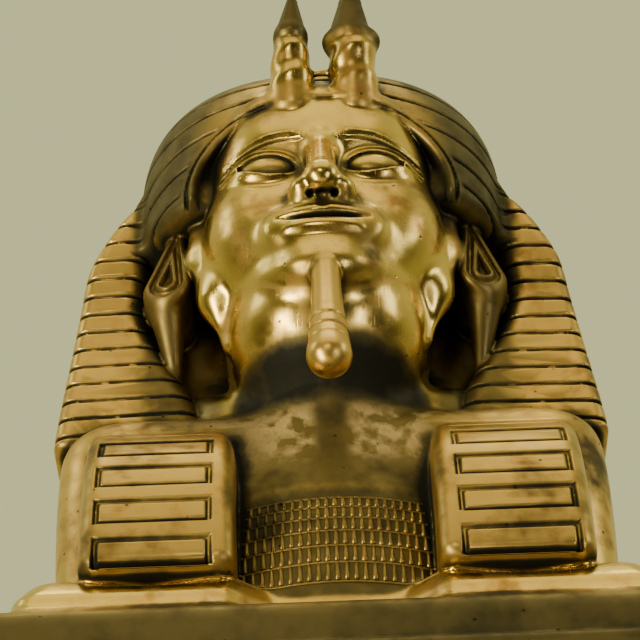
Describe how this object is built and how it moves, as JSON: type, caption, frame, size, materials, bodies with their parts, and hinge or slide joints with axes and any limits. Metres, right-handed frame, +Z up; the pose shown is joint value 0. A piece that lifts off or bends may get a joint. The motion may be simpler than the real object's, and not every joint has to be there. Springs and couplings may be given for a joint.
{
  "type": "pharaoh bust",
  "caption": "Cast brass bust of a pharaoh in a striped headcloth, with a brow ornament, false beard and bib, on a low plinth.",
  "frame": {"origin": "centre of the plinth's underside", "axes": "+Z up; the face looks along -Y; +X is to the right of a person who faces the bust"},
  "size_m": [0.15, 0.0907, 0.1911],
  "materials": {
    "brass": "polished cast brass with dark tarnish in the hollows"
  },
  "bodies": {
    "root": {"pharaoh_bust": "brass"}
  },
  "joints": []
}
